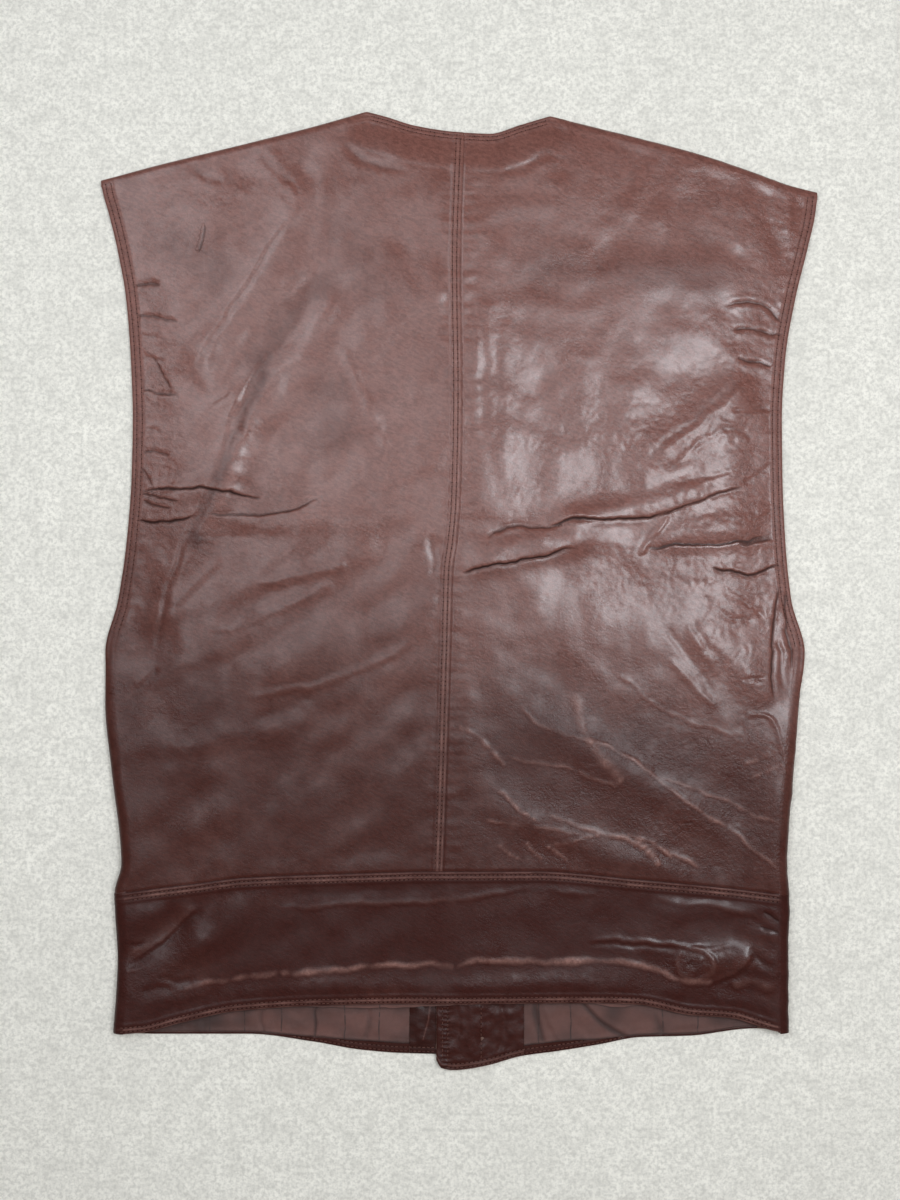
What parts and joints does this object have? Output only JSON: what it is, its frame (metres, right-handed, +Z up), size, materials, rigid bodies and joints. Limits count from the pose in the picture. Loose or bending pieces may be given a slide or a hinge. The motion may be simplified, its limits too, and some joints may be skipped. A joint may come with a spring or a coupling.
{
  "type": "leather vest",
  "caption": "Sleeveless brown leather vest laid flat with its back up: seamed back, waistband, and lined fronts whose inside shows below the back hem.",
  "frame": {"origin": "centre of the bounding box in plan, on the surface that the vest lies on", "axes": "+X towards the wearer's right side, +Y towards the neck, +Z up from the surface, out of the back"},
  "size_m": [0.536, 0.7155, 0.0129],
  "materials": {
    "leather": "glossy smooth brown leather with worn creases",
    "dark_leather": "glossy smooth dark brown leather",
    "lining": "smooth dull rose-brown lining with thin dark stripes"
  },
  "bodies": {
    "root": {"back_left": "leather", "back_right": "leather", "front_left": "leather", "front_right": "leather", "back_band": "dark_leather", "front_band_left": "dark_leather", "front_band_right": "dark_leather", "facing_left": "dark_leather", "facing_right": "dark_leather", "hem_left": "dark_leather", "hem_right": "dark_leather", "lining_left": "lining", "lining_right": "lining", "lining_back": "lining"}
  },
  "joints": []
}
